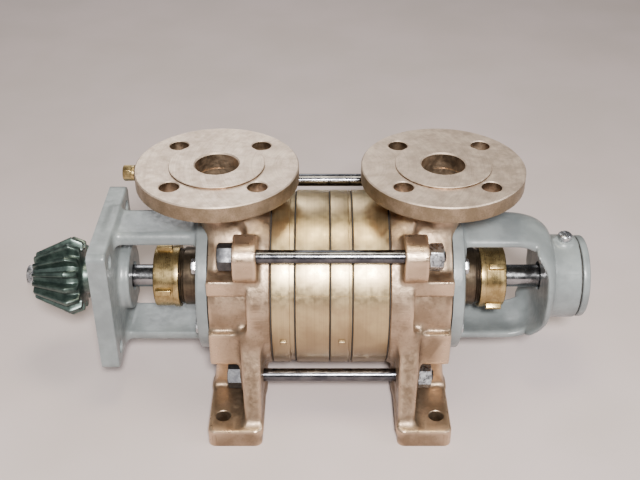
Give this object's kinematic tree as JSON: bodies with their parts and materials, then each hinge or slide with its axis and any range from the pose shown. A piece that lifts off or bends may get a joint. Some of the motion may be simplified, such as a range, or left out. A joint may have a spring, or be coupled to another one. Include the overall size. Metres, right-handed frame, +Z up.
{
  "type": "side-channel bilge pump",
  "caption": "Horizontal bronze side-channel bilge pump with top port flanges, cast feet, tie bolts, bearing lanterns and a bevel pinion drive.",
  "frame": {"origin": "centre of the part's box on the plane of the feet's undersides", "axes": "+X along the shaft from the drive end to the non-drive end, +Y away from the front, +Z up; the port flanges face +Z"},
  "size_m": [0.542, 0.24, 0.237],
  "materials": {
    "cast_bronze": "as-cast gunmetal bronze, brushed, brown in the hollows",
    "turned_bronze": "turned bronze with fine tool marks",
    "brass": "turned brass, lightly tarnished",
    "grey_paint": "grey enamel on cast iron, semi-gloss",
    "bright_steel": "ground or zinc-plated steel, bright",
    "black_steel": "dark oiled steel",
    "oiled_pinion_steel": "cut steel under dark green preserving oil",
    "black_rubber": "moulded nitrile rubber",
    "gasket_paper": "oiled jointing paper",
    "graphite_packing": "square braided packing"
  },
  "bodies": {
    "housing": {"bearing_end_cover": "grey_paint", "discharge_casing": "cast_bronze", "drive_bearing_cover": "black_steel", "drive_bearing_outer_ring": "bright_steel", "drive_bracket_bolt_lower_front": "bright_steel", "drive_bracket_bolt_lower_rear": "bright_steel", "drive_bracket_bolt_upper_front": "bright_steel", "drive_bracket_bolt_upper_rear": "bright_steel", "drive_end_bracket": "grey_paint", "drive_end_packing": "graphite_packing", "drive_end_seal": "black_rubber", "end_cover_gasket": "gasket_paper", "free_bearing_outer_ring": "bright_steel", "free_bracket_bolt_lower_front": "bright_steel", "free_bracket_bolt_lower_rear": "bright_steel", "free_bracket_bolt_upper_front": "bright_steel", "free_bracket_bolt_upper_rear": "bright_steel", "free_end_packing": "graphite_packing", "grease_screw": "bright_steel", "joint_gasket_1": "gasket_paper", "joint_gasket_2": "gasket_paper", "joint_gasket_3": "gasket_paper", "joint_gasket_4": "gasket_paper", "joint_gasket_5": "gasket_paper", "non_drive_end_bracket": "grey_paint", "priming_plug": "brass", "stage1_casing": "turned_bronze", "stage1_suction_disc": "turned_bronze", "stage2_casing": "turned_bronze", "stage2_suction_disc": "turned_bronze", "suction_casing": "cast_bronze", "tie_bolt_lower_front": "black_steel", "tie_bolt_lower_rear": "black_steel", "tie_bolt_upper_front": "black_steel", "tie_bolt_upper_rear": "black_steel", "tie_nut_lower_front": "bright_steel", "tie_nut_lower_rear": "bright_steel", "tie_nut_upper_front": "bright_steel", "tie_nut_upper_rear": "bright_steel"},
    "rotor": {"shaft": "bright_steel", "impeller_1": "cast_bronze", "impeller_2": "cast_bronze", "impeller_1_key": "bright_steel", "impeller_2_key": "bright_steel", "bevel_pinion": "oiled_pinion_steel", "pinion_key": "bright_steel", "pinion_washer": "bright_steel", "pinion_nut": "bright_steel", "pinion_spacer": "bright_steel", "bearing_retaining_ring": "bright_steel", "drive_bearing_inner_ring": "bright_steel", "free_bearing_inner_ring": "bright_steel"},
    "drive_cage": {"drive_bearing_cage": "bright_steel"},
    "free_cage": {"free_bearing_cage": "bright_steel"},
    "drive_follower": {"drive_gland_follower": "brass"},
    "drive_nut": {"drive_gland_nut": "brass"},
    "free_follower": {"free_gland_follower": "brass"},
    "free_nut": {"free_gland_nut": "brass"}
  },
  "joints": [
    {"name": "shaft_spin", "type": "hinge", "parent": "housing", "child": "rotor", "pos_m": [0, 0, 0.112], "axis": [1, 0, 0], "continuous": true},
    {"name": "drive_cage_spin", "type": "hinge", "parent": "housing", "child": "drive_cage", "pos_m": [0, 0, 0.112], "axis": [1, 0, 0], "continuous": true},
    {"name": "free_cage_spin", "type": "hinge", "parent": "housing", "child": "free_cage", "pos_m": [0, 0, 0.112], "axis": [1, 0, 0], "continuous": true},
    {"name": "drive_gland_travel", "type": "slide", "parent": "housing", "child": "drive_follower", "axis": [1, 0, 0], "range_m": [-0.00201, 0.00301]},
    {"name": "drive_gland_turn", "type": "hinge", "parent": "drive_follower", "child": "drive_nut", "pos_m": [0, 0, 0.112], "axis": [1, 0, 0], "range_deg": [-360, 540]},
    {"name": "free_gland_travel", "type": "slide", "parent": "housing", "child": "free_follower", "axis": [-1, 0, 0], "range_m": [-0.00201, 0.00301]},
    {"name": "free_gland_turn", "type": "hinge", "parent": "free_follower", "child": "free_nut", "pos_m": [0, 0, 0.112], "axis": [-1, 0, 0], "range_deg": [-360, 540]}
  ],
  "couplings": [
    {"joint": "drive_cage_spin", "follows": "shaft_spin", "ratio": 0.36778},
    {"joint": "free_cage_spin", "follows": "shaft_spin", "ratio": 0.36778},
    {"joint": "drive_gland_travel", "follows": "drive_gland_turn", "m_per_rad": 0.00031831},
    {"joint": "free_gland_travel", "follows": "free_gland_turn", "m_per_rad": 0.00031831}
  ]
}
